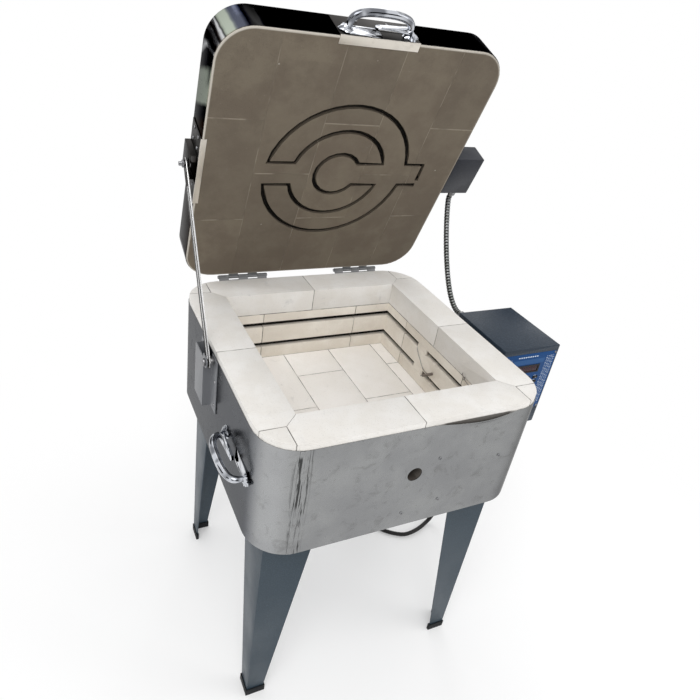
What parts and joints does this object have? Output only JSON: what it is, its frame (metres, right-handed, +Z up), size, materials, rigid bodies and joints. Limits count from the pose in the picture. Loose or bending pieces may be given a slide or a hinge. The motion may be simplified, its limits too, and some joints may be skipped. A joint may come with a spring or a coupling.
{
  "type": "glass kiln",
  "caption": "Square top-loading glass kiln on tapered legs, with a brick lid held open by a slotted arm, wall and lid elements, and a control box with display and keys.",
  "frame": {"origin": "on the floor, under the middle of the kiln's outline with its lid open, free cord left out", "axes": "+Z up, front towards -Y, control box towards +X"},
  "size_m": [0.7749, 0.6964, 1.2907],
  "materials": {
    "stainless": "satin stainless sheet, scuffed",
    "polished_steel": "mirror-polished stainless sheet",
    "chrome": "bright chrome plate",
    "zinc_plate": "zinc-plated steel",
    "wall_brick": "soft insulating firebrick, cream",
    "lid_brick": "insulating firebrick darkened by firing",
    "heating_wire": "oxidised resistance wire",
    "porcelain": "unglazed porcelain",
    "hammered_paint": "slate hammered paint",
    "foot_cap": "black rubber",
    "blue_panel": "blue painted panel",
    "display": "dark red display window",
    "circuit_board": "green board",
    "key_plastic": "black keys",
    "cord_jacket": "black cord jacket",
    "flexible_metal": "ribbed flexible metal hose"
  },
  "bodies": {
    "kiln_body": {"body_jacket": "stainless", "base_pan": "zinc_plate", "floor_bricks": "wall_brick", "wall_bricks": "wall_brick", "rim_bricks": "wall_brick", "element_upper": "heating_wire", "element_lower": "heating_wire", "lead_block": "porcelain", "thermocouple": "porcelain", "leg_front_left": "hammered_paint", "leg_front_right": "hammered_paint", "leg_back_left": "hammered_paint", "leg_back_right": "hammered_paint", "foot_front_left": "foot_cap", "foot_front_right": "foot_cap", "foot_back_left": "foot_cap", "foot_back_right": "foot_cap", "side_handle": "chrome", "arm_guide_bracket": "stainless", "arm_guide_pin": "zinc_plate", "hinge_leaf_body_left": "zinc_plate", "hinge_leaf_body_right": "zinc_plate", "hinge_pin_left": "zinc_plate", "hinge_pin_right": "zinc_plate", "control_housing": "hammered_paint", "control_panel": "blue_panel", "display_window": "display", "switch_board": "circuit_board", "control_standoff_front": "zinc_plate", "control_standoff_back": "zinc_plate", "cord_gland": "cord_jacket", "power_cord": "cord_jacket", "cord_coil": "cord_jacket", "cord_plug": "cord_jacket", "conduit_connector_box": "zinc_plate", "lid_conduit": "flexible_metal"},
    "lid": {"lid_shell": "polished_steel", "lid_bricks": "lid_brick", "lid_element": "heating_wire", "lid_handle": "chrome", "lid_front_bracket": "stainless", "lid_arm_bracket": "stainless", "arm_pivot_bolt": "zinc_plate", "lid_terminal_box": "hammered_paint", "conduit_connector_lid": "zinc_plate", "hinge_leaf_lid_left": "zinc_plate", "hinge_leaf_lid_right": "zinc_plate"},
    "support_arm": {"support_arm": "polished_steel"},
    "key_01": {"key_01": "key_plastic"},
    "key_02": {"key_02": "key_plastic"},
    "key_03": {"key_03": "key_plastic"},
    "key_04": {"key_04": "key_plastic"},
    "key_05": {"key_05": "key_plastic"},
    "key_06": {"key_06": "key_plastic"},
    "key_07": {"key_07": "key_plastic"},
    "key_08": {"key_08": "key_plastic"},
    "key_09": {"key_09": "key_plastic"},
    "key_10": {"key_10": "key_plastic"},
    "key_11": {"key_11": "key_plastic"},
    "key_12": {"key_12": "key_plastic"}
  },
  "joints": [
    {"name": "lid_hinge", "type": "hinge", "parent": "kiln_body", "child": "lid", "pos_m": [-0.06795, 0.25596, 0.7222], "axis": [1, 0, 0], "range_deg": [0, 68.4]},
    {"name": "arm_pivot", "type": "hinge", "parent": "lid", "child": "support_arm", "pos_m": [-0.35995, 0.17086, 0.99826], "axis": [1, 0, 0], "range_deg": [-34.2, 0]},
    {"name": "key_01_press", "type": "slide", "parent": "kiln_body", "child": "key_01", "axis": [0, 1, 0], "range_m": [0, 0.0015], "stiffness_N_per_m": 400},
    {"name": "key_02_press", "type": "slide", "parent": "kiln_body", "child": "key_02", "axis": [0, 1, 0], "range_m": [0, 0.0015], "stiffness_N_per_m": 400},
    {"name": "key_03_press", "type": "slide", "parent": "kiln_body", "child": "key_03", "axis": [0, 1, 0], "range_m": [0, 0.0015], "stiffness_N_per_m": 400},
    {"name": "key_04_press", "type": "slide", "parent": "kiln_body", "child": "key_04", "axis": [0, 1, 0], "range_m": [0, 0.0015], "stiffness_N_per_m": 400},
    {"name": "key_05_press", "type": "slide", "parent": "kiln_body", "child": "key_05", "axis": [0, 1, 0], "range_m": [0, 0.0015], "stiffness_N_per_m": 400},
    {"name": "key_06_press", "type": "slide", "parent": "kiln_body", "child": "key_06", "axis": [0, 1, 0], "range_m": [0, 0.0015], "stiffness_N_per_m": 400},
    {"name": "key_07_press", "type": "slide", "parent": "kiln_body", "child": "key_07", "axis": [0, 1, 0], "range_m": [0, 0.0015], "stiffness_N_per_m": 400},
    {"name": "key_08_press", "type": "slide", "parent": "kiln_body", "child": "key_08", "axis": [0, 1, 0], "range_m": [0, 0.0015], "stiffness_N_per_m": 400},
    {"name": "key_09_press", "type": "slide", "parent": "kiln_body", "child": "key_09", "axis": [0, 1, 0], "range_m": [0, 0.0015], "stiffness_N_per_m": 400},
    {"name": "key_10_press", "type": "slide", "parent": "kiln_body", "child": "key_10", "axis": [0, 1, 0], "range_m": [0, 0.0015], "stiffness_N_per_m": 400},
    {"name": "key_11_press", "type": "slide", "parent": "kiln_body", "child": "key_11", "axis": [0, 1, 0], "range_m": [0, 0.0015], "stiffness_N_per_m": 400},
    {"name": "key_12_press", "type": "slide", "parent": "kiln_body", "child": "key_12", "axis": [0, 1, 0], "range_m": [0, 0.0015], "stiffness_N_per_m": 400}
  ],
  "couplings": [
    {"joint": "arm_pivot", "follows": "lid_hinge", "ratio": -0.5}
  ]
}
